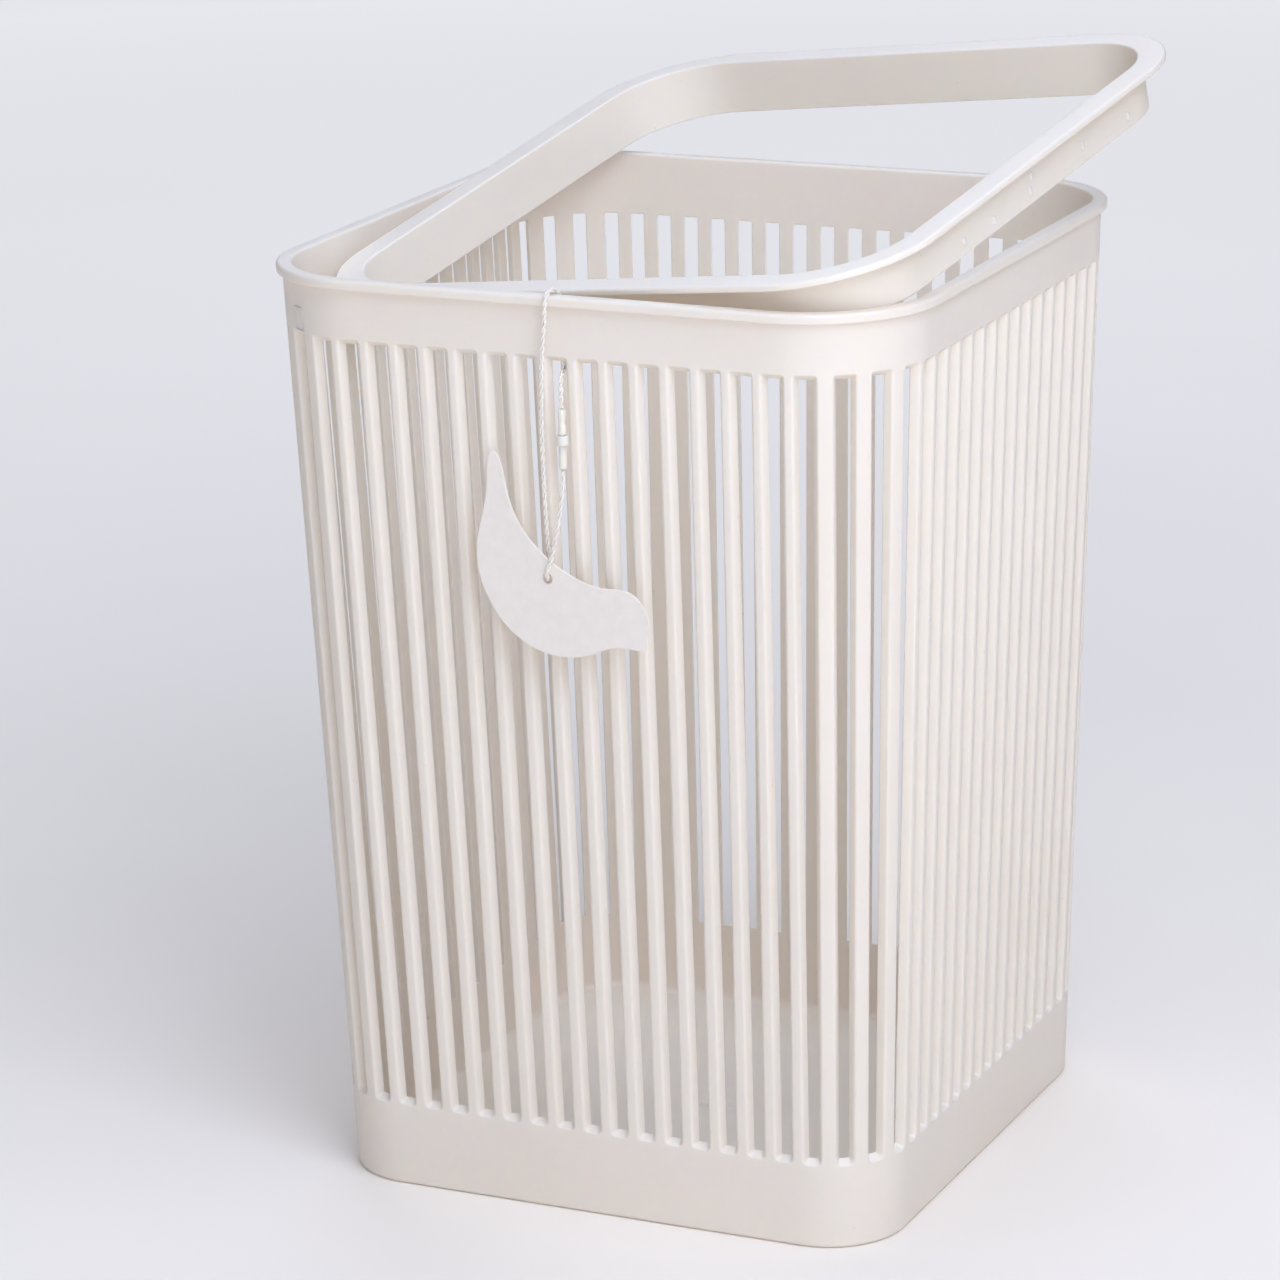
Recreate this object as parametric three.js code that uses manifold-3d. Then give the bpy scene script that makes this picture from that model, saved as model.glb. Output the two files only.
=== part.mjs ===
// An open slatted laundry basket, moulded in one piece, with the loose ring that holds a bag in its
// mouth and a hang tag on a looped string. Millimetres, +Z up, front face towards -Y.
import * as THREE from "three";
import { ConvexGeometry } from "three/addons/geometries/ConvexGeometry.js";
import { mergeVertices } from "three/addons/utils/BufferGeometryUtils.js";
import Module from "manifold-3d";

const wasm = await Module();
wasm.setup();

// Basket: overall sizes.
const HEIGHT = 420;
const TOP_WIDTH = 300;
const BASE_WIDTH = 266;
const TOP_CORNER_RADIUS = 52;
const BASE_CORNER_RADIUS = 35;
const WALL = 4.4;
const FLOOR = 3.5;
const FLOOR_FILLET = 4;
const BASE_EDGE = 2; // chamfer round the foot

// Basket: the lip round the rim.
const LIP_REACH = 2.6;
const LIP_HEIGHT = 4.4;
const LIP_EDGE = 0.8;
const MOUTH_EDGE = 1.2;

// Basket: the slots.
const UPPER_BAND = 26.4; // solid wall above the slots
const LOWER_BAND = 39; // solid wall below them
const SLOTS_PER_SIDE = 17;
const SLOTS_PER_CORNER = 2;
const CORNER_SPACING_TOP = 1.2; // spacing at the corners, in slot spacings of the sides
const CORNER_SPACING_BASE = 1.1;
const SLAT_FACE_TOP = 3.8; // width of a slat's outer face
const SLAT_FACE_BASE = 5;
const SLOT_SIDE_DRAFT = 2; // how far each side of a slot closes in through the wall
const SLOT_END_DRAFT = 3;

// Ring: it sits on the lip, and its skirt hangs in the mouth.
const RING_INSET = 1.6; // from the edge of the lip to the edge of the ring
const RING_PLATE = 3;
const RING_DEPTH = 24.5;
const RING_WALL = 2.2;
const RING_DRAFT = 1.4;
const SKIRT_CLEARANCE = 5.2; // between the skirt and the mouth, for the bag
const RING_EDGE = 0.5;

// Ring: how it lies tilted in the mouth, on its front right corner.
const RING_PITCH = 11.24; // degrees about X
const RING_ROLL = -7.02; // degrees about Y
const RING_YAW = -9.61; // degrees about Z
const RING_SEAT = new THREE.Vector3(-0.8, 3.3, -4.5); // its skirt's corner, from the mouth's

// Tag and its string.
const STRING_DIAMETER = 2;
const STRING_SIDES = 8;
const STRING_STEPS = 66;
const TAG_THICKNESS = 1;
const TAG_HOLE_RADIUS = 2.4;
const TAG_LEAN = -1.93; // degrees, so that it hangs with its weight below the hole
const TAG_HOLE = [-4.5, 6, 122.2]; // right of the middle, from the wall to the string, down from the rim
const LOCK_TOP = [3.6, 2.7, 48];
const LOCK_BARREL_RADIUS = 1.7;
const LOCK_COLLAR_RADIUS = 2.6;
const LOCK_PIN_LENGTH = 11;
const LOCK_SOCKET_LENGTH = 14.5;
const LOCK_COLLAR_HEIGHT = 4.4;
const LOCK_NOSE_RADIUS = 1;
const LOCK_NOSE_LENGTH = 6;
const TOUCH_GAP = 0.3; // between pieces that touch
const OVERCUT = 1; // how far a cutter runs past what it cuts

const CORNER_STEPS = 10;
const degrees = THREE.MathUtils.degToRad;
const mix = THREE.MathUtils.lerp;

// ---- solids ----

function solidOf(geometry) {
  const bare = geometry.clone();
  bare.deleteAttribute("normal");
  bare.deleteAttribute("uv");
  const merged = mergeVertices(bare, 1e-4);
  return new wasm.Manifold(
    new wasm.Mesh({
      numProp: 3,
      vertProperties: merged.attributes.position.array,
      triVerts: new Uint32Array(merged.index.array),
    }),
  );
}

function geometryOf(solid) {
  const mesh = solid.getMesh();
  const geometry = new THREE.BufferGeometry();
  geometry.setAttribute("position", new THREE.BufferAttribute(mesh.vertProperties, 3));
  geometry.setIndex(new THREE.BufferAttribute(mesh.triVerts, 1));
  return geometry;
}

// Outlines stacked from the bottom up, each with the same number of points, joined into one solid.
function stack(outlines) {
  const count = outlines[0].length;
  const top = (outlines.length - 1) * count;
  const index = [];
  for (let low = 0; low < top; low += count)
    for (let i = 0; i < count; i++) {
      const next = (i + 1) % count;
      index.push(low + i, low + next, low + count + next);
      index.push(low + i, low + count + next, low + count + i);
    }
  for (let i = 1; i + 1 < count; i++) {
    index.push(0, i + 1, i);
    index.push(top, top + i, top + i + 1);
  }
  const geometry = new THREE.BufferGeometry().setFromPoints(outlines.flat());
  geometry.setIndex(index);
  return solidOf(geometry);
}

// A square with round corners, anticlockwise from the front right corner.
function roundedSquare(half, radius, z) {
  const centre = half - radius;
  const points = [];
  for (let corner = 0; corner < 4; corner++)
    for (let step = 0; step <= CORNER_STEPS; step++) {
      const turn = (corner - 1 + step / CORNER_STEPS) * (Math.PI / 2);
      const [x, y] = [
        [1, -1],
        [1, 1],
        [-1, 1],
        [-1, -1],
      ][corner];
      points.push(
        new THREE.Vector3(
          x * centre + radius * Math.cos(turn),
          y * centre + radius * Math.sin(turn),
          z,
        ),
      );
    }
  return points;
}

// ---- basket ----

const halfAt = (z) => mix(BASE_WIDTH, TOP_WIDTH, z / HEIGHT) / 2;
const cornerAt = (z) => mix(BASE_CORNER_RADIUS, TOP_CORNER_RADIUS, z / HEIGHT);

// The wall's outline at a height, moved outwards by some amount.
const wallOutline = (z, outwards) => roundedSquare(halfAt(z) + outwards, cornerAt(z) + outwards, z);

function basketShell() {
  const lipBottom = HEIGHT - LIP_HEIGHT;
  const outside = stack([
    wallOutline(0, -BASE_EDGE),
    wallOutline(BASE_EDGE, 0),
    wallOutline(lipBottom, 0),
    wallOutline(lipBottom, LIP_REACH - LIP_EDGE),
    wallOutline(lipBottom + LIP_EDGE, LIP_REACH),
    wallOutline(HEIGHT - LIP_EDGE, LIP_REACH),
    wallOutline(HEIGHT, LIP_REACH - LIP_EDGE),
  ]);
  const inside = stack([
    wallOutline(FLOOR, -WALL - FLOOR_FILLET),
    wallOutline(FLOOR + FLOOR_FILLET, -WALL),
    wallOutline(HEIGHT - MOUTH_EDGE, -WALL),
    wallOutline(HEIGHT + OVERCUT, -WALL + MOUTH_EDGE + OVERCUT),
  ]);
  return outside.subtract(inside);
}

// Slot spacing at a height: the slots share out a quarter of the wall's outline.
function spacingAt(z) {
  const quarter = 2 * (halfAt(z) - cornerAt(z)) + (cornerAt(z) * Math.PI) / 2;
  const corner = mix(CORNER_SPACING_BASE, CORNER_SPACING_TOP, z / HEIGHT);
  const side = quarter / (SLOTS_PER_SIDE - 1 + (SLOTS_PER_CORNER + 1) * corner);
  return { side, corner: side * corner };
}

// How far slot number i, counted from the middle of a side, is along the outline.
function slotDistance(i, z) {
  const { side, corner } = spacingAt(z);
  const last = (SLOTS_PER_SIDE - 1) / 2;
  return Math.min(i, last) * side + Math.max(i - last, 0) * corner;
}

// A place on the wall's outline, a distance right of the middle of the front, with the way out there.
function placeOnWall(distance, z) {
  const radius = cornerAt(z);
  const straight = halfAt(z) - radius;
  const along = Math.abs(distance) - straight;
  const turn = Math.sign(distance) * THREE.MathUtils.clamp(along / radius, 0, Math.PI / 2);
  const out = new THREE.Vector3(Math.sin(turn), -Math.cos(turn), 0);
  const centreX = Math.sign(distance) * Math.min(Math.abs(distance), straight);
  const point = new THREE.Vector3(centreX, -straight, z).addScaledVector(out, radius);
  return { point, out };
}

// What one slot takes out of the front: it closes in from the outer face to the inner one.
function slotCutter(i) {
  const corners = [];
  for (const depth of [-OVERCUT, WALL + OVERCUT]) {
    const share = depth / WALL;
    const bottom = LOWER_BAND + SLOT_END_DRAFT * share;
    const top = HEIGHT - UPPER_BAND - SLOT_END_DRAFT * share;
    for (const z of [bottom, top]) {
      const slat = mix(SLAT_FACE_BASE, SLAT_FACE_TOP, z / HEIGHT);
      const halfWidth = (spacingAt(z).side - slat) / 2 - SLOT_SIDE_DRAFT * share;
      const { point, out } = placeOnWall(slotDistance(i, z), z);
      const along = new THREE.Vector3(-out.y, out.x, 0);
      for (const side of [-1, 1])
        corners.push(
          point
            .clone()
            .addScaledVector(out, -depth)
            .addScaledVector(along, side * halfWidth),
        );
    }
  }
  return solidOf(new ConvexGeometry(corners));
}

function basketBody() {
  let basket = basketShell();
  const first = -(SLOTS_PER_SIDE - 1) / 2;
  for (let i = first; i < first + SLOTS_PER_SIDE + SLOTS_PER_CORNER; i++)
    for (let side = 0; side < 4; side++)
      basket = basket.subtract(slotCutter(i).rotate([0, 0, side * 90]));
  return geometryOf(basket);
}

// ---- ring ----

const MOUTH_HALF = TOP_WIDTH / 2 - WALL;
const RING_HALF = TOP_WIDTH / 2 + LIP_REACH - RING_INSET;
const RING_CORNER = TOP_CORNER_RADIUS + LIP_REACH - RING_INSET;
const SKIRT_INSET = RING_HALF - MOUTH_HALF + SKIRT_CLEARANCE; // from the ring's edge to its skirt

function linerRing() {
  const outline = (z, inwards) => roundedSquare(RING_HALF - inwards, RING_CORNER - inwards, z);
  const outside = stack([
    outline(-RING_DEPTH, SKIRT_INSET + RING_DRAFT),
    outline(-RING_PLATE, SKIRT_INSET),
    outline(-RING_PLATE, RING_EDGE),
    outline(-RING_PLATE + RING_EDGE, 0),
    outline(-RING_EDGE, 0),
    outline(0, RING_EDGE),
  ]);
  const slope = RING_DRAFT / RING_DEPTH;
  const inside = stack([
    outline(-RING_DEPTH - OVERCUT, SKIRT_INSET + RING_WALL + RING_DRAFT + slope * OVERCUT),
    outline(OVERCUT, SKIRT_INSET + RING_WALL - slope * OVERCUT),
  ]);
  return geometryOf(outside.subtract(inside));
}

// Sets the ring down so that the lowest point of its front right corner hangs in the mouth's corner.
function layRing(ring) {
  const intoCorner = new THREE.Vector3(Math.SQRT1_2, -Math.SQRT1_2, 0);
  const skirtCorner = new THREE.Vector3(RING_HALF - RING_CORNER, RING_CORNER - RING_HALF, -RING_DEPTH)
    .addScaledVector(intoCorner, RING_CORNER - SKIRT_INSET - RING_DRAFT);
  const straight = TOP_WIDTH / 2 - TOP_CORNER_RADIUS;
  const seat = new THREE.Vector3(straight, -straight, HEIGHT)
    .addScaledVector(intoCorner, TOP_CORNER_RADIUS - WALL)
    .add(RING_SEAT);
  ring.rotation.set(degrees(RING_PITCH), degrees(RING_ROLL), degrees(RING_YAW), "ZYX");
  ring.position.copy(seat).sub(skirtCorner.applyEuler(ring.rotation));
}

// ---- string, lock and tag ----

// Where the string's middle line is, when the string is a gap away from a face of the basket. A place
// is how far it is right of the middle, the gap, and how far it is below the rim.
const beforeFace = (face) => ([x, gap, down]) =>
  new THREE.Vector3(x, face(HEIGHT - down) - STRING_DIAMETER / 2 - gap, HEIGHT - down);
const behindFace = (face) => ([x, gap, down]) =>
  new THREE.Vector3(x, face(HEIGHT - down) + STRING_DIAMETER / 2 + gap, HEIGHT - down);
const outerFace = (z) => -halfAt(z);
const beforeWall = beforeFace(outerFace);
const beforeLip = beforeFace(() => outerFace(HEIGHT) - LIP_REACH);
const behindWall = behindFace((z) => outerFace(z) + WALL);

// From the lock's socket down to the tag, through its hole and up behind it to the rim.
const FRONT_STRANDS = [
  [3.6, 3.8, 74.2],
  [3.3, 4.2, 79],
  [2.2, 5.2, 90],
  [0, 6.8, 104],
  [-2.4, 8.2, 114.5],
  [-4, 8.8, 119],
  [-4.5, 7.7, 121.8],
  [-4.5, 6, 122.2],
  [-4.6, 4.2, 121.8],
  [-4.9, 3.3, 118],
  [-5.3, 3.3, 111],
  [-5.8, 3.5, 97],
  [-6, 3.4, 74],
  [-5.6, 3.2, 48],
  [-4, 3.4, 24],
];
const OVER_LIP = [
  [-2.2, 0.7, 11],
  [-1.4, 1, 3.5],
  [-1, -0.2, -0.8],
  [-0.6, -4, -2.1],
];
const DOWN_INSIDE = [
  [-0.2, -1.2, -1.4],
  [0.2, 1.4, 3],
  [0.6, 1.2, 12],
  [1, 1, 22],
  [1.3, 0.8, 28.5],
  [1.5, 0.1, 31.4],
  [1.9, -1.8, 33],
];
// Out through the middle slot and down to the lock's pin.
const OUT_TO_LOCK = [
  [2.5, -2, 33.8],
  [3.1, 0.6, 35.4],
  [3.5, 2.1, 39],
  [3.6, 2.6, 44],
  [3.6, 2.7, 47.7],
];
const stringRoute = () => [
  ...FRONT_STRANDS.map(beforeWall),
  ...OVER_LIP.map(beforeLip),
  ...DOWN_INSIDE.map(behindWall),
  ...OUT_TO_LOCK.map(beforeWall),
];

function tagString() {
  const section = new THREE.Shape().absarc(0, 0, STRING_DIAMETER / 2, 0, 2 * Math.PI);
  return new THREE.ExtrudeGeometry(section, {
    steps: STRING_STEPS,
    curveSegments: STRING_SIDES,
    extrudePath: new THREE.CatmullRomCurve3(stringRoute(), false, "centripetal"),
  });
}

// A turned piece: [radius, height] pairs up its outline, from the axis and back to it.
function turned(outline) {
  const geometry = new THREE.LatheGeometry(
    outline.map(([radius, height]) => new THREE.Vector2(radius, height)),
    16,
  );
  return geometry.rotateX(Math.PI / 2);
}

function lockPin() {
  const taper = 0.3;
  return turned([
    [0, -LOCK_NOSE_LENGTH],
    [LOCK_NOSE_RADIUS, -LOCK_NOSE_LENGTH + taper],
    [LOCK_NOSE_RADIUS, 0],
    [LOCK_BARREL_RADIUS, 0],
    [LOCK_BARREL_RADIUS, LOCK_PIN_LENGTH - taper],
    [LOCK_BARREL_RADIUS - taper, LOCK_PIN_LENGTH],
    [0, LOCK_PIN_LENGTH],
  ]);
}

function lockSocket() {
  const taper = 0.3;
  const bore = LOCK_NOSE_RADIUS + TOUCH_GAP;
  const boreFloor = LOCK_SOCKET_LENGTH - LOCK_NOSE_LENGTH - 2 * TOUCH_GAP;
  const shoulder = LOCK_SOCKET_LENGTH - LOCK_COLLAR_HEIGHT;
  return turned([
    [0, 0],
    [LOCK_BARREL_RADIUS - taper, 0],
    [LOCK_BARREL_RADIUS, taper],
    [LOCK_BARREL_RADIUS, shoulder - taper],
    [LOCK_COLLAR_RADIUS, shoulder + taper],
    [LOCK_COLLAR_RADIUS, LOCK_SOCKET_LENGTH - taper],
    [LOCK_COLLAR_RADIUS - taper, LOCK_SOCKET_LENGTH],
    [bore, LOCK_SOCKET_LENGTH],
    [bore, boreFloor],
    [0, boreFloor],
  ]);
}

// A plain bird cut from card, tail up and head to the right, with the hole at its origin.
function hangTag() {
  const bird = new THREE.Shape();
  bird.moveTo(-24, 52);
  bird.bezierCurveTo(-20, 46, -21, 36, -15, 25);
  bird.bezierCurveTo(-8, 12, 8, 1, 24, -1);
  bird.bezierCurveTo(30, -1.5, 36, 1, 41, -3);
  bird.bezierCurveTo(47, -8, 49, -14, 46, -19);
  bird.lineTo(47, -26);
  bird.bezierCurveTo(39, -27, 34, -24, 25, -29);
  bird.bezierCurveTo(4, -40, -19, -31, -29, -10);
  bird.bezierCurveTo(-39.4, 10.6, -28, 24, -28.5, 42);
  bird.bezierCurveTo(-28.5, 48, -28, 52, -26, 53);
  const card = new THREE.ExtrudeGeometry(bird, {
    depth: TAG_THICKNESS,
    bevelEnabled: false,
    curveSegments: 8,
  });
  card.translate(0, 0, -TAG_THICKNESS / 2).rotateZ(degrees(TAG_LEAN)).rotateX(Math.PI / 2);
  const hole = new THREE.CylinderGeometry(TAG_HOLE_RADIUS, TAG_HOLE_RADIUS, 3 * TAG_THICKNESS, 20);
  return geometryOf(solidOf(card).subtract(solidOf(hole)));
}

// ---- the assembly ----

const plastic = (color) => new THREE.MeshStandardMaterial({ color, roughness: 0.5, metalness: 0 });
const fibre = (color) => new THREE.MeshStandardMaterial({ color, roughness: 0.9, metalness: 0 });

function piece(name, geometry, material, position) {
  const mesh = new THREE.Mesh(geometry, material);
  mesh.name = name;
  if (position) mesh.position.copy(position);
  return mesh;
}

const hamper = new THREE.Group();
const ring = piece("liner_ring", linerRing(), plastic(0xf1ece4));
layRing(ring);
hamper.add(piece("basket_body", basketBody(), plastic(0xefeae2)));
hamper.add(ring);

const lockTop = beforeWall(LOCK_TOP);
const pinFoot = lockTop.clone().setZ(lockTop.z - LOCK_PIN_LENGTH);
const socketFoot = pinFoot.clone().setZ(pinFoot.z - TOUCH_GAP - LOCK_SOCKET_LENGTH);
hamper.add(piece("tag_string", tagString(), fibre(0xf3ece0)));
hamper.add(piece("lock_pin", lockPin(), plastic(0xf4efe6), pinFoot));
hamper.add(piece("lock_socket", lockSocket(), plastic(0xf4efe6), socketFoot));
hamper.add(piece("hang_tag", hangTag(), fibre(0xf6f5f2), beforeWall(TAG_HOLE)));

export default hamper;
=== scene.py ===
"""Looks for a slatted laundry basket with a loose bag ring and a hang tag.

The basket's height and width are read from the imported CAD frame. Its other sizes are the
CAD's own. The small roundings, the string's plies and the marks of the mould are added here.
"""

import math

import bmesh
import bpy
import numpy as np
from mathutils import Euler, Matrix, Vector


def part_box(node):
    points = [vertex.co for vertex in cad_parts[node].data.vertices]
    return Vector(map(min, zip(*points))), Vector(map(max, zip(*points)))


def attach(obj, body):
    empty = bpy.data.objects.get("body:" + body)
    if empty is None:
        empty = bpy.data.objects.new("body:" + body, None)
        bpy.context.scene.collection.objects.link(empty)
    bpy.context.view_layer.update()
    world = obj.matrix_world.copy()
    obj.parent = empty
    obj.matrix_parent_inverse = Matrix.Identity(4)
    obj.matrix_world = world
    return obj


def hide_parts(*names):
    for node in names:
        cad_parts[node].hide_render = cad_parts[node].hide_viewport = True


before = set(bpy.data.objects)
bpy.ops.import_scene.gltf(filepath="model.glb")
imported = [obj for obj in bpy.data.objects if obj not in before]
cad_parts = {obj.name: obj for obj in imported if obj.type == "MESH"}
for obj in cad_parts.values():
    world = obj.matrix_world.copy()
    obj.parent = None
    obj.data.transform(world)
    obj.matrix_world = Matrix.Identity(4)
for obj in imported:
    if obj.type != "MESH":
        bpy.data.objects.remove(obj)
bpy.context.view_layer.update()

MM = 0.001

# Basket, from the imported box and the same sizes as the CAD.
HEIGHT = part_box("basket_body")[1].z
LIP_REACH = 2.6 * MM
TOP_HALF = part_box("basket_body")[1].x - LIP_REACH
BASE_HALF = TOP_HALF - 17 * MM
TOP_CORNER = 52 * MM
BASE_CORNER = 35 * MM
WALL = 4.4 * MM
FLOOR = 3.5 * MM
FLOOR_FILLET = 4 * MM
LIP_HEIGHT = 4.4 * MM

SLOT_TOP = HEIGHT - 26.4 * MM
SLOT_BOTTOM = 39 * MM
SLOTS_PER_SIDE = 17
SLOTS_PER_CORNER = 2
CORNER_SPACING_BASE = 1.1
CORNER_SPACING_TOP = 1.2
SLAT_TOP = 3.8 * MM
SLAT_BASE = 5 * MM
SIDE_DRAFT = 2 * MM
END_DRAFT = 3 * MM
SLOT_CORNER_TOP = 1.5 * MM
SLOT_CORNER_BASE = 2.4 * MM
CELL_MARGIN = 2.4 * MM  # solid wall above and below a slot that belongs to its cell

# Ring, in its own frame with its top face at zero height.
RING_HALF = TOP_HALF + 1 * MM
RING_CORNER = TOP_CORNER + 1 * MM
RING_PLATE = 3 * MM
RING_DEPTH = 24.5 * MM
RING_WALL = 2.2 * MM
RING_DRAFT = 1.4 * MM
SKIRT_INSET = RING_HALF - (TOP_HALF - WALL) + 5.2 * MM
RING_TILT = Euler([math.radians(angle) for angle in (11.24, -7.02, -9.61)], "XYZ")
RING_SEAT = Vector((-0.8, 3.3, -4.5)) * MM

# String, lock and tag.
STRING_DIAMETER = 2 * MM
TAG_LEAN = math.radians(-1.93)
TAG_THICKNESS = 1 * MM
TAG_HOLE_RADIUS = 2.4 * MM


def mix(a, b, share):
    return a + (b - a) * share


def half_at(z):
    return mix(BASE_HALF, TOP_HALF, z / HEIGHT)


def corner_at(z):
    return mix(BASE_CORNER, TOP_CORNER, z / HEIGHT)


# ---- camera ----

CAMERA_AZIMUTH = math.radians(25.3)
CAMERA_ELEVATION = math.radians(16.37)
CAMERA_ROLL = math.radians(-1.467)
CAMERA_DISTANCE = 2.28
CAMERA_LENS = 141
CAMERA_PAN = (-31.6 * MM, 18 * MM)


def add_camera():
    data = bpy.data.cameras.new("camera")
    data.lens = CAMERA_LENS
    data.sensor_width = 36
    data.clip_start = 0.05
    data.clip_end = 50
    camera = bpy.data.objects.new("camera", data)
    bpy.context.scene.collection.objects.link(camera)
    flat = math.cos(CAMERA_ELEVATION)
    back = Vector((
        math.sin(CAMERA_AZIMUTH) * flat,
        -math.cos(CAMERA_AZIMUTH) * flat,
        math.sin(CAMERA_ELEVATION),
    ))
    right = Vector((math.cos(CAMERA_AZIMUTH), math.sin(CAMERA_AZIMUTH), 0))
    up = back.cross(right)
    rolled_right = right * math.cos(CAMERA_ROLL) + up * math.sin(CAMERA_ROLL)
    rolled_up = up * math.cos(CAMERA_ROLL) - right * math.sin(CAMERA_ROLL)
    place = Vector((0, 0, HEIGHT / 2)) + back * CAMERA_DISTANCE
    place += rolled_right * CAMERA_PAN[0] + rolled_up * CAMERA_PAN[1]
    turn = Matrix((rolled_right, rolled_up, back)).transposed().to_4x4()
    camera.matrix_world = Matrix.Translation(place) @ turn
    bpy.context.scene.camera = camera


# ---- mesh helpers ----


def mesh_object(name, points, faces, material, weld=2e-6):
    """A smooth mesh from points and faces, with doubled points welded and its faces turned outwards."""
    mesh = bpy.data.meshes.new(name)
    mesh.from_pydata([tuple(p) for p in points], [], faces)
    shape = bmesh.new()
    shape.from_mesh(mesh)
    bmesh.ops.remove_doubles(shape, verts=shape.verts, dist=weld)
    bmesh.ops.dissolve_degenerate(shape, edges=shape.edges, dist=weld)
    bmesh.ops.recalc_face_normals(shape, faces=shape.faces)
    shape.to_mesh(mesh)
    shape.free()
    mesh.shade_smooth()
    mesh.materials.append(material)
    piece = bpy.data.objects.new(name, mesh)
    bpy.context.scene.collection.objects.link(piece)
    return piece


def keep_flats_flat(piece):
    """Normals weighted by face area, so that only the narrow roundings shade as curves."""
    weighted = piece.modifiers.new("weighted", "WEIGHTED_NORMAL")
    weighted.keep_sharp = False
    weighted.weight = 60


def rounded(corners, radii, steps=4):
    """A path through flat corners, each swung round on its radius."""
    path = []
    count = len(corners)
    for k, (corner, radius) in enumerate(zip(corners, radii)):
        at = Vector(corner)
        if radius == 0:
            path.append(at)
            continue
        before = (Vector(corners[k - 1]) - at).normalized()
        after = (Vector(corners[(k + 1) % count]) - at).normalized()
        half_angle = before.angle(after) / 2
        reach = radius / math.tan(half_angle)
        centre = at + (before + after).normalized() * (radius / math.sin(half_angle))
        start = at + before * reach - centre
        sweep = (at + after * reach - centre).angle_signed(start)
        for step in range(steps + 1):
            angle = sweep * step / steps
            turned = Vector((
                start.x * math.cos(angle) - start.y * math.sin(angle),
                start.x * math.sin(angle) + start.y * math.cos(angle),
            ))
            path.append(centre + turned)
    return path


def strips(loops, closed_across=False):
    """Points and quads of equal closed loops joined one to the next."""
    points = [p for loop in loops for p in loop]
    across = len(loops[0])
    faces = []
    rows = len(loops)
    for row in range(rows if closed_across else rows - 1):
        low = row * across
        high = ((row + 1) % rows) * across
        for i in range(across):
            j = (i + 1) % across
            faces.append((low + i, low + j, high + j, high + i))
    return points, faces


def join_parts(parts):
    """Several (points, faces) as one."""
    points, faces = [], []
    for more_points, more_faces in parts:
        start = len(points)
        points.extend(more_points)
        faces.extend(tuple(start + v for v in face) for face in more_faces)
    return points, faces


def fan(loop, centre):
    """A closed loop filled to one middle point."""
    count = len(loop)
    return list(loop) + [centre], [(i, (i + 1) % count, count) for i in range(count)]


# ---- materials ----


class Nodes:
    """Short calls for building one material's node tree."""

    def __init__(self, name):
        self.material = bpy.data.materials.new(name)
        self.material.use_nodes = True
        self.tree = self.material.node_tree
        self.shader = self.tree.nodes["Principled BSDF"]
        self.place = self.add("ShaderNodeTexCoord").outputs["Object"]

    def add(self, kind, **values):
        node = self.tree.nodes.new(kind)
        for key, value in values.items():
            setattr(node, key, value)
        return node

    def link(self, source, target):
        self.tree.links.new(source, target)

    def noise(self, scale, detail=3, roughness=0.5, stretch=(1, 1, 1)):
        mapping = self.add("ShaderNodeMapping")
        mapping.inputs["Scale"].default_value = stretch
        self.link(self.place, mapping.inputs["Vector"])
        noise = self.add("ShaderNodeTexNoise")
        noise.inputs["Scale"].default_value = scale
        noise.inputs["Detail"].default_value = detail
        noise.inputs["Roughness"].default_value = roughness
        self.link(mapping.outputs["Vector"], noise.inputs["Vector"])
        return noise.outputs["Fac"]

    def ramp(self, source, stops):
        ramp = self.add("ShaderNodeValToRGB")
        elements = ramp.color_ramp.elements
        while len(elements) < len(stops):
            elements.new(0.5)
        for element, (place, colour) in zip(elements, stops):
            element.position = place
            element.color = (*colour, 1)
        self.link(source, ramp.inputs["Fac"])
        return ramp.outputs["Color"]

    def span(self, source, low, high):
        """The middle of a noise's range spread over low to high."""
        node = self.add("ShaderNodeMapRange")
        node.inputs["From Min"].default_value = 0.3
        node.inputs["From Max"].default_value = 0.7
        node.inputs["To Min"].default_value = low
        node.inputs["To Max"].default_value = high
        self.link(source, node.inputs["Value"])
        return node.outputs["Result"]

    def bump(self, source, height, strength=1.0, below=None):
        node = self.add("ShaderNodeBump")
        node.inputs["Distance"].default_value = height
        node.inputs["Strength"].default_value = strength
        self.link(source, node.inputs["Height"])
        if below is not None:
            self.link(below, node.inputs["Normal"])
        return node.outputs["Normal"]

    def colour(self, output):
        self.link(output, self.shader.inputs["Base Color"])

    def normal(self, output):
        self.link(output, self.shader.inputs["Normal"])

    def rough(self, output):
        self.link(output, self.shader.inputs["Roughness"])

    def fixed(self, **values):
        for key, value in values.items():
            self.shader.inputs[key.replace("_", " ")].default_value = value


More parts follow.
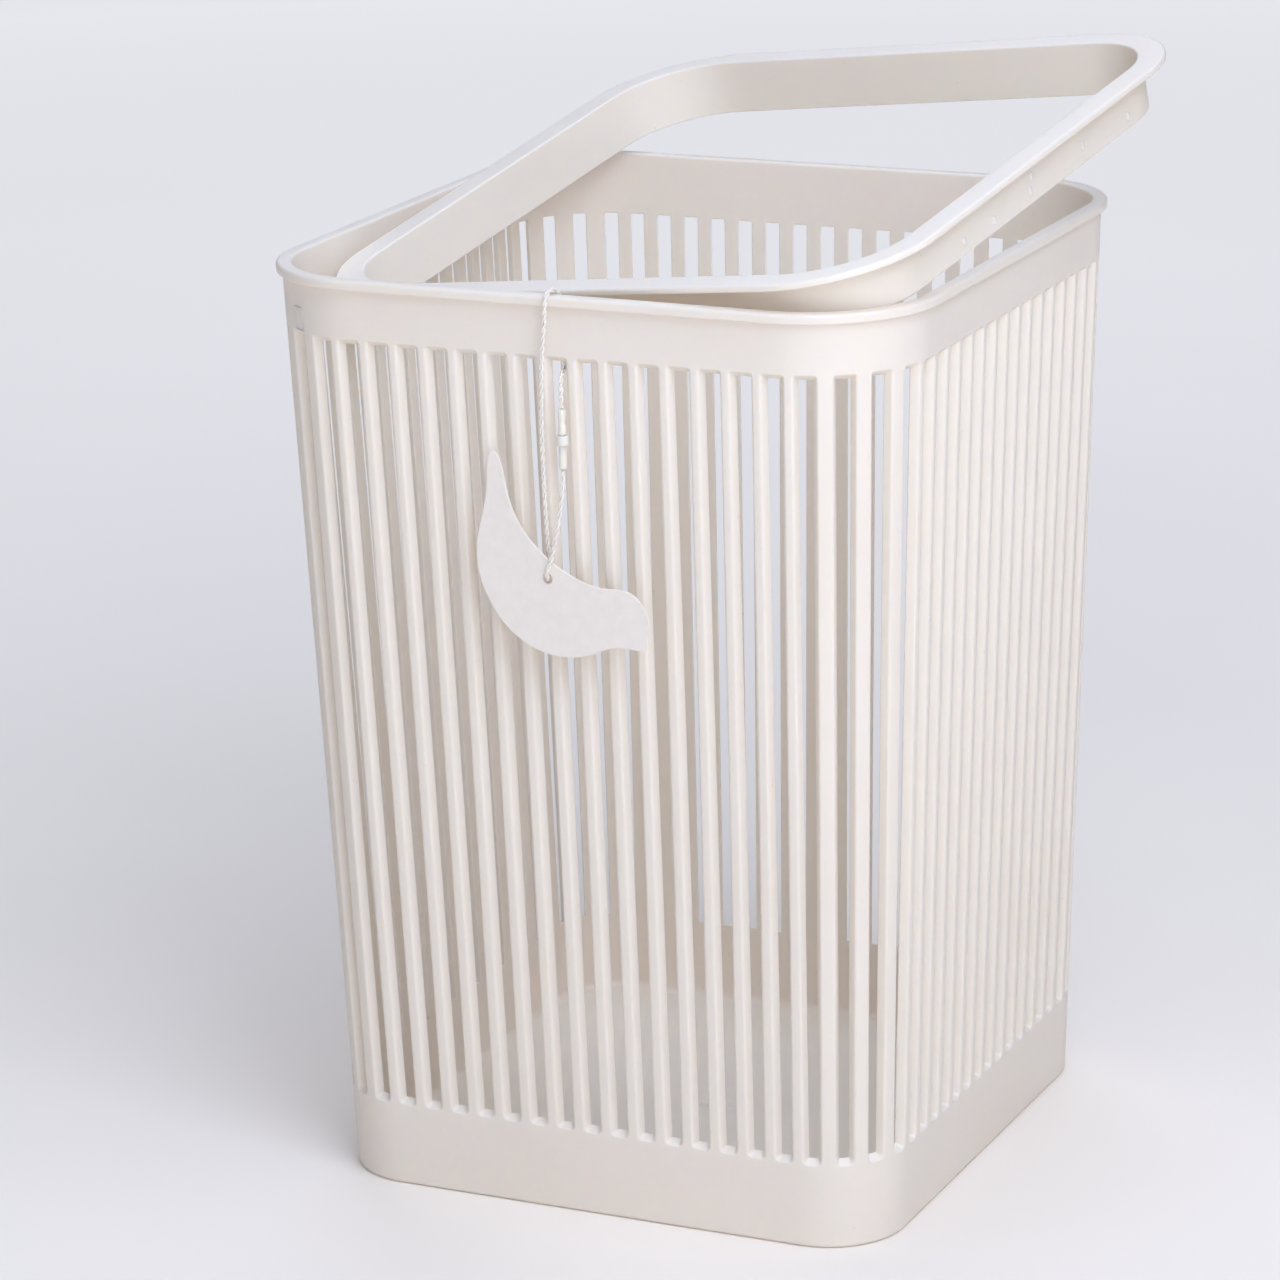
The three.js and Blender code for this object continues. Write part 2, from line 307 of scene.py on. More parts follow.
def moulded_plastic(name, pale, deep, roughness, speck):
    """Satin polypropylene: faint clouding, sparse specks, a fine grain, and drawn flow along Z."""
    nodes = Nodes(name)
    cloud = nodes.noise(9, detail=4)
    tone = nodes.ramp(cloud, [(0.3, deep), (0.7, pale)])
    specks = nodes.ramp(nodes.noise(420, detail=1), [(0.79, (0, 0, 0)), (0.84, (0.35, 0.35, 0.35))])
    blend = nodes.add("ShaderNodeMix", data_type="RGBA")
    blend.inputs["B"].default_value = (*speck, 1)
    nodes.link(tone, blend.inputs["A"])
    nodes.link(specks, blend.inputs["Factor"])
    nodes.colour(blend.outputs["Result"])
    nodes.rough(nodes.span(nodes.noise(26, detail=5, stretch=(1, 1, 0.35)), *roughness))
    grain = nodes.bump(nodes.noise(1500, detail=2, roughness=0.6), 0.02 * MM, 0.35)
    nodes.normal(nodes.bump(nodes.noise(34, detail=2, stretch=(1, 1, 0.3)), 0.12 * MM, 0.25, grain))
    nodes.fixed(Subsurface_Weight=0.35, Subsurface_Scale=5 * MM, Specular_IOR_Level=0.42)
    nodes.shader.inputs["Subsurface Radius"].default_value = (1.0, 0.72, 0.42)
    return nodes.material


def basket_plastic():
    return moulded_plastic(
        "ivory_plastic",
        pale=(0.89, 0.804, 0.70),
        deep=(0.87, 0.78, 0.672),
        roughness=(0.36, 0.46),
        speck=(0.62, 0.5, 0.35),
    )


def ring_plastic():
    return moulded_plastic(
        "ring_plastic",
        pale=(0.92, 0.822, 0.715),
        deep=(0.905, 0.80, 0.688),
        roughness=(0.34, 0.44),
        speck=(0.62, 0.5, 0.35),
    )


def lock_plastic():
    return moulded_plastic(
        "lock_plastic",
        pale=(0.89, 0.815, 0.70),
        deep=(0.87, 0.79, 0.665),
        roughness=(0.3, 0.4),
        speck=(0.76, 0.68, 0.56),
    )


def twisted_cotton(name):
    """Cotton yarn with fine fibres lying along it; its colour is darker where the fibre bump is low,
    painted shade in the hollows.
    """
    nodes = Nodes(name)
    fibres = nodes.noise(2600, detail=4, roughness=0.7, stretch=(1, 1, 0.25))
    # the colour follows the fibre bump's height: the darker low places are painted shade in the hollows
    nodes.colour(nodes.ramp(fibres, [(0.3, (0.78, 0.68, 0.55)), (0.6, (0.97, 0.91, 0.82))]))
    nodes.rough(nodes.span(fibres, 0.95, 0.75))
    nodes.normal(nodes.bump(fibres, 0.12 * MM, 0.8))
    nodes.fixed(Sheen_Weight=0.25, Sheen_Roughness=0.5)
    return nodes.material


def uncoated_card(name):
    """Thick soft white board: mottled, with short fibres and a tooth to the surface."""
    nodes = Nodes(name)
    mottle = nodes.noise(190, detail=5, roughness=0.65)
    nodes.colour(nodes.ramp(mottle, [(0.3, (0.88, 0.796, 0.70)), (0.7, (0.93, 0.845, 0.745))]))
    nodes.rough(nodes.span(mottle, 0.94, 0.84))
    fibres = nodes.bump(nodes.noise(1300, detail=4, roughness=0.7, stretch=(1, 1, 0.5)), 0.05 * MM, 0.6)
    nodes.normal(nodes.bump(mottle, 0.1 * MM, 0.5, fibres))
    nodes.fixed(Specular_IOR_Level=0.25)
    return nodes.material


def studio_floor(name):
    """Pale paper: its glow stands for the studio light on the parts far from the object."""
    nodes = Nodes(name)
    paper = [(0.3, (0.92, 0.842, 0.744)), (0.7, (0.94, 0.86, 0.76))]
    nodes.colour(nodes.ramp(nodes.noise(3, detail=2), paper))
    away = nodes.add("ShaderNodeVectorMath", operation="LENGTH")
    nodes.link(nodes.place, away.inputs[0])
    farthest = FLOOR_GLOW[-1][0]
    share = nodes.add("ShaderNodeMapRange")
    share.inputs["From Max"].default_value = farthest
    nodes.link(away.outputs["Value"], share.inputs["Value"])
    stops = [
        (distance / farthest, (glow, glow, glow * GLOW_BLUE))
        for distance, glow in FLOOR_GLOW
    ]
    nodes.link(nodes.ramp(share.outputs["Result"], stops), nodes.shader.inputs["Emission Color"])
    nodes.fixed(Roughness=0.9, Specular_IOR_Level=0.15, Emission_Strength=1.0)
    return nodes.material


# ---- string, lock and tag ----


def before_face(face):
    """Places points before a face: right of the middle, gap to the face, down from the rim, in mm."""

    def place(x, gap, down):
        y = (face(HEIGHT - down * MM) - STRING_DIAMETER / 2) / MM - gap
        return Vector((x, y, HEIGHT / MM - down)) * MM

    return place


def behind_face(face):
    """Places points behind a face in the same way."""

    def place(x, gap, down):
        y = (face(HEIGHT - down * MM) + STRING_DIAMETER / 2) / MM + gap
        return Vector((x, y, HEIGHT / MM - down)) * MM

    return place


def outer_face(z):
    return -half_at(z)


before_wall = before_face(outer_face)
before_lip = before_face(lambda z: outer_face(HEIGHT) - LIP_REACH)
behind_wall = behind_face(lambda z: outer_face(z) + WALL)

# The string's middle line, as the CAD has it, in the order that before_face takes.
FRONT_STRANDS = [
    (3.6, 3.8, 74.2),
    (3.3, 4.2, 79),
    (2.2, 5.2, 90),
    (0, 6.8, 104),
    (-2.4, 8.2, 114.5),
    (-4, 8.8, 119),
    (-4.5, 7.7, 121.8),
    (-4.5, 6, 122.2),
    (-4.6, 4.2, 121.8),
    (-4.9, 3.3, 118),
    (-5.3, 3.3, 111),
    (-5.8, 3.5, 97),
    (-6, 3.4, 74),
    (-5.6, 3.2, 48),
    (-4, 3.4, 24),
]
OVER_LIP = [
    (-2.2, 0.7, 11),
    (-1.4, 1, 3.5),
    (-1, -0.2, -0.8),
    (-0.6, -4, -2.1),
]
DOWN_INSIDE = [
    (-0.2, -1.2, -1.4),
    (0.2, 1.4, 3),
    (0.6, 1.2, 12),
    (1, 1, 22),
    (1.3, 0.8, 28.5),
    (1.5, 0.1, 31.4),
    (1.9, -1.8, 33),
]
OUT_TO_LOCK = [
    (2.5, -2, 33.8),
    (3.1, 0.6, 35.4),
    (3.5, 2.1, 39),
    (3.6, 2.6, 44),
    (3.6, 2.7, 47.7),
]
LOCK_TOP = before_wall(3.6, 2.7, 48)
TAG_HOLE = before_wall(-4.5, 6, 122.2)


def string_route():
    route = [before_wall(*p) for p in FRONT_STRANDS]
    route += [before_lip(*p) for p in OVER_LIP]
    route += [behind_wall(*p) for p in DOWN_INSIDE]
    route += [before_wall(*p) for p in OUT_TO_LOCK]
    return route


def smooth_line(route, step):
    """Even points along the centripetal curve through a route."""
    dense = []
    ends = [route[0] * 2 - route[1], *route, route[-1] * 2 - route[-2]]
    for a, b, c, d in zip(ends, ends[1:], ends[2:], ends[3:]):
        t1 = (b - a).length ** 0.5
        t2 = t1 + (c - b).length ** 0.5
        t3 = t2 + (d - c).length ** 0.5
        for k in range(24):
            t = mix(t1, t2, k / 24)
            ab = a.lerp(b, t / t1)
            bc = b.lerp(c, (t - t1) / (t2 - t1))
            cd = c.lerp(d, (t - t2) / (t3 - t2))
            abc = ab.lerp(bc, t / t2)
            bcd = bc.lerp(cd, (t - t1) / (t3 - t1))
            dense.append(abc.lerp(bcd, (t - t1) / (t2 - t1)))
    dense.append(route[-1])
    points = np.array(dense)
    along = np.concatenate([[0], np.cumsum(np.linalg.norm(np.diff(points, axis=0), axis=1))])
    wanted = np.linspace(0, along[-1], int(along[-1] / step) + 1)
    even = np.stack([np.interp(wanted, along, points[:, k]) for k in range(3)], axis=1)
    return [Vector(p) for p in even], float(along[-1])


def carried_frames(line):
    """Two directions square to a line at each point, carried along it without twist."""
    side = Vector((1, 0, 0))
    frames = []
    for k, point in enumerate(line):
        ahead = (line[min(k + 1, len(line) - 1)] - line[max(k - 1, 0)]).normalized()
        side = (side - ahead * side.dot(ahead)).normalized()
        frames.append((side.copy(), ahead.cross(side)))
    return frames


def add_string(material):
    """Two plies twisted round each other along the route."""
    ply = STRING_DIAMETER * 0.27
    twist = 8 * MM  # one turn
    sides = 10
    line, length = smooth_line(string_route(), 0.5 * MM)
    spacing = length / (len(line) - 1)
    frames = carried_frames(line)
    parts = []
    for first in (0, math.pi):
        loops = []
        for k, (point, (side, across)) in enumerate(zip(line, frames)):
            turn = first + 2 * math.pi * k * spacing / twist
            middle = point + (side * math.cos(turn) + across * math.sin(turn)) * ply
            loop = []
            for i in range(sides):
                angle = turn + 2 * math.pi * i / sides
                loop.append(middle + (side * math.cos(angle) + across * math.sin(angle)) * ply)
            loops.append(loop)
        parts.append(strips(loops))
        parts.append(fan(loops[0], sum(loops[0], Vector()) / sides))
        parts.append(fan(loops[-1], sum(loops[-1], Vector()) / sides))
    points, faces = join_parts(parts)
    string = mesh_object("tag_string_twisted", points, faces, material, weld=1e-7)
    return string, line, length


def turned(name, outline, foot, material, sides=32):
    """A turned piece: (radius, height) up its outline, standing on foot."""
    loops = []
    for radius, height in outline:
        radius = max(radius, 0.01 * MM)
        loops.append([
            foot + Vector((radius * math.cos(a), radius * math.sin(a), height))
            for a in (2 * math.pi * i / sides for i in range(sides))
        ])
    parts = [strips(loops)]
    for loop in (loops[0], loops[-1]):
        parts.append(fan(loop, sum(loop, Vector()) / sides))
    piece = mesh_object(name, *join_parts(parts), material, weld=1e-7)
    keep_flats_flat(piece)
    return piece


LOCK_BARREL = 1.7 * MM
LOCK_COLLAR = 2.6 * MM
PIN_LENGTH = 11 * MM
SOCKET_LENGTH = 14.5 * MM
COLLAR_HEIGHT = 4.4 * MM
NOSE_RADIUS = 1 * MM
NOSE_LENGTH = 6 * MM
TOUCH_GAP = 0.3 * MM


def lock_outline(corners, radii):
    """A turned piece's outline, closed on its axis at both ends, with each corner rounded."""
    closed = [(0, corners[0][1]), *corners, (0, corners[-1][1])]
    return [(p.x, p.y) for p in rounded(closed, [0, *radii, 0], 3)]


def add_lock(material):
    pin_foot = LOCK_TOP - Vector((0, 0, PIN_LENGTH))
    socket_foot = pin_foot - Vector((0, 0, TOUCH_GAP + SOCKET_LENGTH))
    waist = 0.25 * MM
    pin = turned("lock_pin_moulded", lock_outline(
        [
            (NOSE_RADIUS, -NOSE_LENGTH),
            (NOSE_RADIUS, 0),
            (LOCK_BARREL, 0),
            (LOCK_BARREL, PIN_LENGTH * 0.3),
            (LOCK_BARREL - waist, PIN_LENGTH * 0.42),
            (LOCK_BARREL - waist, PIN_LENGTH * 0.6),
            (LOCK_BARREL, PIN_LENGTH * 0.72),
            (LOCK_BARREL, PIN_LENGTH),
        ],
        [0.4 * MM, 0.1 * MM, 0.3 * MM, 0.5 * MM, 0.5 * MM, 0.5 * MM, 0.5 * MM, 0.6 * MM],
    ), pin_foot, material)
    shoulder = SOCKET_LENGTH - COLLAR_HEIGHT
    bore = NOSE_RADIUS + TOUCH_GAP
    bore_floor = SOCKET_LENGTH - NOSE_LENGTH - 2 * TOUCH_GAP
    socket = turned("lock_socket_moulded", lock_outline(
        [
            (LOCK_BARREL, 0),
            (LOCK_BARREL, shoulder),
            (LOCK_COLLAR, shoulder + 0.4 * MM),
            (LOCK_COLLAR, SOCKET_LENGTH),
            (bore, SOCKET_LENGTH),
            (bore, bore_floor),
        ],
        [0.6 * MM, 0.3 * MM, 0.4 * MM, 0.5 * MM, 0.2 * MM, 0.2 * MM],
    ), socket_foot, material)
    return pin, socket


BIRD_START = (-24, 52)
BIRD_CURVES = [
    ((-20, 46), (-21, 36), (-15, 25)),
    ((-8, 12), (8, 1), (24, -1)),
    ((30, -1.5), (36, 1), (41, -3)),
    ((47, -8), (49, -14), (46, -19)),
    ((46.3, -21.3), (46.7, -23.7), (47, -26)),
    ((39, -27), (34, -24), (25, -29)),
    ((4, -40), (-19, -31), (-29, -10)),
    ((-39.4, 10.6), (-28, 24), (-28.5, 42)),
    ((-28.5, 48), (-28, 52), (-26, 53)),
]


def bird_outline(steps=14):
    """The card's outline about its hole, x to the right and y up."""
    points = [Vector(BIRD_START)]
    for b, c, d in BIRD_CURVES:
        a = points[-1]
        b, c, d = Vector(b), Vector(c), Vector(d)
        for k in range(1, steps + 1):
            t = k / steps
            points.append(
                a * (1 - t) ** 3
                + b * (3 * t * (1 - t) ** 2)
                + c * (3 * t * t * (1 - t))
                + d * t ** 3
            )
    return [p * MM for p in points]


def add_tag(material):
    """The card: a flat outline with a punched hole, thickened, its cut edges softened."""
    shape = bmesh.new()
    outline = bird_outline()
    rim = [shape.verts.new((p.x, -TAG_THICKNESS / 2, p.y)) for p in outline]
    count = 40
    hole = [
        shape.verts.new((
            TAG_HOLE_RADIUS * math.cos(2 * math.pi * k / count),
            -TAG_THICKNESS / 2,
            TAG_HOLE_RADIUS * math.sin(2 * math.pi * k / count),
        ))
        for k in range(count)
    ]
    edges = []
    for loop in (rim, hole):
        edges += [shape.edges.new((loop[i], loop[(i + 1) % len(loop)])) for i in range(len(loop))]
    bmesh.ops.triangle_fill(shape, edges=edges, use_beauty=True)
    mesh = bpy.data.meshes.new("hang_tag_card")
    shape.to_mesh(mesh)
    shape.free()
    mesh.transform(Matrix.Translation(TAG_HOLE) @ Matrix.Rotation(-TAG_LEAN, 4, "Y"))
    mesh.materials.append(material)
    card = bpy.data.objects.new("hang_tag_card", mesh)
    bpy.context.scene.collection.objects.link(card)
    thick = card.modifiers.new("thickness", "SOLIDIFY")
    thick.thickness = TAG_THICKNESS
    thick.offset = -1
    soft = card.modifiers.new("soft_edge", "BEVEL")
    soft.width = 0.18 * MM
    soft.segments = 2
    soft.limit_method = "ANGLE"
    soft.angle_limit = math.radians(50)
    return card


# ---- basket ----


def spacing_at(z):
    """Slot spacing along a side and at a corner: the slots share out a quarter of the wall's outline."""
    quarter = 2 * (half_at(z) - corner_at(z)) + corner_at(z) * math.pi / 2
    corner = mix(CORNER_SPACING_BASE, CORNER_SPACING_TOP, z / HEIGHT)
    side = quarter / (SLOTS_PER_SIDE - 1 + (SLOTS_PER_CORNER + 1) * corner)
    return side, side * corner


LAST = (SLOTS_PER_SIDE - 1) // 2
FIRST_SLOT = -LAST
SLOTS = range(FIRST_SLOT, LAST + SLOTS_PER_CORNER + 1)


def slot_distance(i, z):
    side, corner = spacing_at(z)
    return min(i, LAST) * side + max(i - LAST, 0) * corner


def cell_edges(i, z):
    """Distances along the outline of a cell's left edge, its slot's middle and its right edge."""
    side, corner = spacing_at(z)
    middle = slot_distance(i, z)
    left = middle - (corner if i == FIRST_SLOT or i > LAST else side) / 2
    right = middle + (corner if i >= LAST else side) / 2
    return left, middle, right


LEFT = 3  # the left wall's quarter, counted from the front


def on_wall(quarter, distance, z, depth):
    """A point at a distance along a quarter's outline, a depth in from the outer face."""
    radius = corner_at(z)
    straight = half_at(z) - radius
    turn = math.copysign(min(max((abs(distance) - straight) / radius, 0), math.pi / 2), distance)
    x = math.copysign(min(abs(distance), straight), distance) + math.sin(turn) * (radius - depth)
    y = -straight - math.cos(turn) * (radius - depth)
    cosine, sine = ((1, 0), (0, 1), (-1, 0), (0, -1))[quarter]
    return Vector((x * cosine - y * sine, x * sine + y * cosine, z))


def across_cell(i, share, z):
    """A distance along the outline, share -1 at the cell's left edge, 0 at its middle, 1 at its right."""
    left, middle, right = cell_edges(i, z)
    return middle + share * (middle - left if share < 0 else right - middle)


ARC_SHARES = (1, 0.72, 0.42)  # where a slot corner's points meet the cell's top or bottom edge
SIDE_ROWS = 9
LEAST_CORNER = 0.45 * MM


def cell_template():
    """The points round a slot, from its bottom left.

    Each has its kind, its corner or row, an angle, and its place on the cell's edge.
    """
    template = []

    def corner(x, z, first_angle, on_side_first):
        for step in range(5):
            angle = math.radians(first_angle + 22.5 * step)
            order = step if on_side_first else 4 - step
            if order < 2:
                edge = (x, z, 2 - order)
            else:
                edge = (x * ARC_SHARES[order - 2], z, 0)
            template.append(("arc", x, z, angle, edge))

    def side(x, rows):
        for row in rows:
            template.append(("row", x, row / (SIDE_ROWS + 1), 0, None))

    def middle(z):
        template.append(("middle", 0, z, 0, (0, z, 0)))

    corner(-1, -1, 180, True)
    middle(-1)
    corner(1, -1, 270, False)
    side(1, range(1, SIDE_ROWS + 1))
    corner(1, 1, 0, True)
    middle(1)
    corner(-1, 1, 90, False)
    side(-1, range(SIDE_ROWS, 0, -1))
    return template


TEMPLATE = cell_template()


def row_height(share):
    return mix(SLOT_BOTTOM + SLOT_CORNER_BASE, SLOT_TOP - SLOT_CORNER_TOP, share)


def slot_half_width(z):
    return (spacing_at(z)[0] - mix(SLAT_BASE, SLAT_TOP, z / HEIGHT)) / 2


def slot_loop(quarter, i, at_side, at_end):
    """A loop round a slot. at_side and at_end are (how far outside the slot's outer edge, depth)."""
    loop = []
    for kind, x, z_or_share, angle, _ in TEMPLATE:
        if kind == "row":
            z = row_height(z_or_share)
            offset = x * (slot_half_width(z) + at_side[0])
            depth = at_side[1]
        else:
            top = z_or_share > 0
            end = SLOT_TOP + at_end[0] if top else SLOT_BOTTOM - at_end[0]
            corner = SLOT_CORNER_TOP if top else SLOT_CORNER_BASE
            radius = max(corner + (at_side[0] + at_end[0]) / 2, LEAST_CORNER)
            if kind == "middle":
                z, offset, depth = end, 0, at_end[1]
            else:
                z = end - z_or_share * radius + radius * math.sin(angle)
                offset = x * (slot_half_width(z) + at_side[0] - radius) + radius * math.cos(angle)
                depth = mix(at_side[1], at_end[1], math.sin(angle) ** 2)
        loop.append(on_wall(quarter, slot_distance(i, z) + offset, z, depth))
    return loop


def cell_loop(quarter, i, depth):
    """The rectangle of wall round a slot, with the same points as its loops."""
    low, high = SLOT_BOTTOM - CELL_MARGIN, SLOT_TOP + CELL_MARGIN
    loop = []
    for kind, x, z_or_share, _, edge in TEMPLATE:
        if kind == "row":
            z, share = row_height(z_or_share), x
        else:
            share, _, steps_up = edge
            inner = row_height(0) if z_or_share < 0 else row_height(1)
            z = mix(low if z_or_share < 0 else high, inner, steps_up / 2)
        loop.append(on_wall(quarter, across_cell(i, share, z), z, depth))
    return loop


def slot_section(draft, outer_round, inner_round):
    """From the outer face into the slot and out on the inner face, as (outside the slot's edge, depth)."""
    far = 3 * MM
    path = rounded(
        [(far, 0), (0, 0), (-draft, WALL), (far, WALL)],
        [0, outer_round, inner_round, 0],
    )
    return [(p.x, p.y) for p in path[1:-1]]


def basket_cells():
    sides = slot_section(SIDE_DRAFT, 1.5 * MM, 0.5 * MM)
    ends = slot_section(END_DRAFT, 0.9 * MM, 0.5 * MM)
    for quarter in range(4):
        for i in SLOTS:
            loops = [cell_loop(quarter, i, 0)]
            loops += [slot_loop(quarter, i, side, end) for side, end in zip(sides, ends)]
            loops.append(cell_loop(quarter, i, WALL))
            yield strips(loops)


COLUMN_SHARES = [-1, -0.72, -0.42, 0, 0.42, 0.72]


def wall_ring(depth, z):
    """A closed loop round the whole wall, in the same columns as the cells."""
    return [
        on_wall(quarter, across_cell(i, share, z), z, depth)
        for quarter in range(4)
        for i in SLOTS
        for share in COLUMN_SHARES
    ]


def basket_rim():
    """Upper band, lip and mouth, from the top of the cells outside to their top inside."""
    cell_top = SLOT_TOP + CELL_MARGIN
    lip_bottom = HEIGHT - LIP_HEIGHT
    path = rounded(
        [
            (0, cell_top),
            (0, lip_bottom),
            (-LIP_REACH, lip_bottom),
            (-LIP_REACH, HEIGHT),
            (WALL, HEIGHT),
            (WALL, cell_top),
        ],
        [0, 0.5 * MM, 0.7 * MM, 1.6 * MM, 1.3 * MM, 0],
    )
    return strips([wall_ring(p.x, p.y) for p in path])


def shrunk(loop, share, z):
    return [Vector((p.x * share, p.y * share, z)) for p in loop]


def circle_like(loop, radius, z):
    return [Vector((p.x, p.y, 0)).normalized() * radius + Vector((0, 0, z)) for p in loop]


FLAT_FROM = 14 * MM  # in from the outer face, where the floor's flat middle begins
# The mould's round marks: (radius, height above the flat), in mm.
GATE_PIT = [(6, 0), (4.5, 0), (4, 0.6), (1.6, 0.6), (1.3, 0.2)]
GATE_PIT_MIDDLE = 0.2
FLOOR_MARK = [(9.4, 0), (9, 0.4), (7.4, 0.4), (7, 0), (2, 0)]
FLOOR_MARK_MIDDLE = 0.3


def flat_middle(loops, z, mark, middle):
    """Loops carried in over the flat at height z and through a round mark, then closed."""
    edge = loops[-1]
    inward = [shrunk(edge, share, z) for share in (0.8, 0.5, 0.2)]
    rings = [circle_like(edge, radius * MM, z + up * MM) for radius, up in mark]
    loops = [*loops, *inward, *rings]
    return join_parts([strips(loops), fan(loops[-1], Vector((0, 0, z + middle * MM)))])


def basket_foot():
    """Lower band, foot and recessed underside, from the bottom of the cells to the middle."""
    recess = 1 * MM
    foot_width = 6 * MM
    path = rounded(
        [
            (0, SLOT_BOTTOM - CELL_MARGIN),
            (0, 0),
            (foot_width, 0),
            (foot_width + recess, recess),
            (FLAT_FROM, recess),
        ],
        [0, 2.2 * MM, 0.4 * MM, 0.4 * MM, 0],
    )
    return flat_middle([wall_ring(p.x, p.y) for p in path], recess, GATE_PIT, GATE_PIT_MIDDLE)


def basket_floor():
    """Lower band inside and the floor, with a round mark of the mould in its middle."""
    path = rounded(
        [(WALL, SLOT_BOTTOM - CELL_MARGIN), (WALL, FLOOR), (FLAT_FROM, FLOOR)],
        [0, FLOOR_FILLET, 0],
        6,
    )
    return flat_middle([wall_ring(p.x, p.y) for p in path], FLOOR, FLOOR_MARK, FLOOR_MARK_MIDDLE)


MARK_SHIFT = 1.5 * MM  # to the right of the slot below it
MARK_BOTTOM = SLOT_TOP + 0.3 * MM
MARK_TOP = SLOT_TOP + 11 * MM
MARK_HALF_WIDTH = 3.6 * MM
MARK_COLUMNS = 6
# The ridge's closed section: (in from the mark's edge, depth), in mm. It stands out where depth is below 0.
MARK_SECTION = [(0, 0.2), (0.1, -0.25), (0.5, -0.25), (0.6, 0.2)]


def insert_mark():
    """The ridge that an insert in the mould left on the band, above the front left corner's last slot."""
    middle = slot_distance(LAST + SLOTS_PER_CORNER, HEIGHT) + MARK_SHIFT
    loops = []
    for inset, depth in MARK_SECTION:
        reach = MARK_HALF_WIDTH - inset * MM
        shares = [mix(-reach, reach, k / MARK_COLUMNS) for k in range(MARK_COLUMNS + 1)]
        low, high = MARK_BOTTOM + inset * MM, MARK_TOP - inset * MM
        bottom = [on_wall(LEFT, middle + share, low, depth * MM) for share in shares]
        top = [on_wall(LEFT, middle + share, high, depth * MM) for share in reversed(shares)]
        loops.append(bottom + top)
    return strips(loops, closed_across=True)


def add_basket(material):
    parts = [*basket_cells(), basket_rim(), basket_foot(), basket_floor(), insert_mark()]
    basket = mesh_object("basket_moulded", *join_parts(parts), material)
    keep_flats_flat(basket)
    return basket


# ---- ring ----

RING_CORNER_STEPS = 28
RING_SIDE_STEPS = 10


def ring_outline(inset, z):
    """A square with round corners, in from the ring's edge."""
    centre = RING_HALF - RING_CORNER
    radius = RING_CORNER - inset
    loop = []
    for quarter in range(4):
        cosine, sine = ((1, 0), (0, 1), (-1, 0), (0, -1))[quarter]
        arc = [
            (centre + radius * math.sin(a), -centre - radius * math.cos(a))
            for a in (math.pi / 2 * k / RING_CORNER_STEPS for k in range(RING_CORNER_STEPS + 1))
        ]
        side = [
            (centre + radius, mix(-centre, centre, k / RING_SIDE_STEPS))
            for k in range(1, RING_SIDE_STEPS)
        ]
        loop += [Vector((x * cosine - y * sine, x * sine + y * cosine, z)) for x, y in arc + side]
    return loop


def ring_placement():
    """Where the ring lies: the foot of its front right corner hangs in the mouth's corner."""
    into_corner = Vector((1, -1, 0)).normalized()
    skirt = Vector((RING_HALF - RING_CORNER, RING_CORNER - RING_HALF, -RING_DEPTH))
    skirt += into_corner * (RING_CORNER - SKIRT_INSET - RING_DRAFT)
    straight = TOP_HALF - TOP_CORNER
    seat = Vector((straight, -straight, HEIGHT)) + into_corner * (TOP_CORNER - WALL) + RING_SEAT
    turn = RING_TILT.to_matrix()
    return Matrix.Translation(seat - turn @ skirt) @ turn.to_4x4()


def ring_body():
    inner = SKIRT_INSET + RING_WALL
    path = rounded(
        [
            (SKIRT_INSET + RING_DRAFT, -RING_DEPTH),
            (SKIRT_INSET, -RING_PLATE),
            (0, -RING_PLATE),
            (0, 0),
            (inner, 0),
            (inner + RING_DRAFT, -RING_DEPTH),
        ],
        [1.4 * MM, 0.8 * MM, 0.7 * MM, 1.2 * MM, 1 * MM, 0.6 * MM],
    )
    return strips([ring_outline(p.x, p.y) for p in path], closed_across=True)


# Small marks of the ejector pins on the outside of the skirt's right side: (along it, height), in mm.
NUBS = [(89.6, -19.2), (47.1, -17), (1.2, -13.1), (-1.3, -19), (-33.6, -19.5), (-59.5, -18.7)]


NUB_RADIUS = 1.5 * MM
NUB_REACH = 1.2 * MM
NUB_SUNK = 0.2 * MM
NUB_DRAWN = 1.9  # how much further its upper half reaches than its lower
NUB_RINGS = 6
NUB_SIDES = 16


def skirt_nub(along, height):
    """A low drop, thick at its foot and drawn out upwards."""
    slope = RING_DRAFT / (RING_DEPTH - RING_PLATE)
    surface = RING_HALF - SKIRT_INSET + slope * (height * MM + RING_PLATE)
    loops = []
    for ring in range(NUB_RINGS + 1):
        lean = math.pi / 2 * ring / NUB_RINGS
        radius = NUB_RADIUS * math.cos(lean)
        out = NUB_REACH * math.sin(lean) - NUB_SUNK
        loop = []
        for k in range(NUB_SIDES):
            angle = 2 * math.pi * k / NUB_SIDES
            drawn = NUB_DRAWN if math.sin(angle) > 0 else 1
            loop.append(Vector((
                surface + out,
                along * MM + radius * math.cos(angle),
                height * MM + radius * math.sin(angle) * drawn,
            )))
        loops.append(loop)
    foot = fan(loops[0], sum(loops[0], Vector()) / NUB_SIDES)
    tip = fan(loops[-1], loops[-1][0])
    return join_parts([strips(loops), foot, tip])


def add_ring(material):
    place = ring_placement()
    points, faces = ring_body()
    ring = mesh_object("liner_ring_moulded", [place @ p for p in points], faces, material)
    keep_flats_flat(ring)
    points, faces = join_parts(skirt_nub(*nub) for nub in NUBS)
    nubs = mesh_object("liner_ring_nubs", [place @ p for p in points], faces, material, weld=1e-7)
    return ring, nubs


# ---- stage ----


FLOOR_RADIUS = 12
FLOOR_SIDES = 64
GLOW_BLUE = 1.06
# The floor's painted light, a glow standing in for the studio lamps: (distance from the object's middle in
# m, strength).
FLOOR_GLOW = [(0, 0.04), (0.4, 0.05), (0.65, 0.08), (1.2, 0.18), (2.3, 0.41), (3.3, 0.64)]


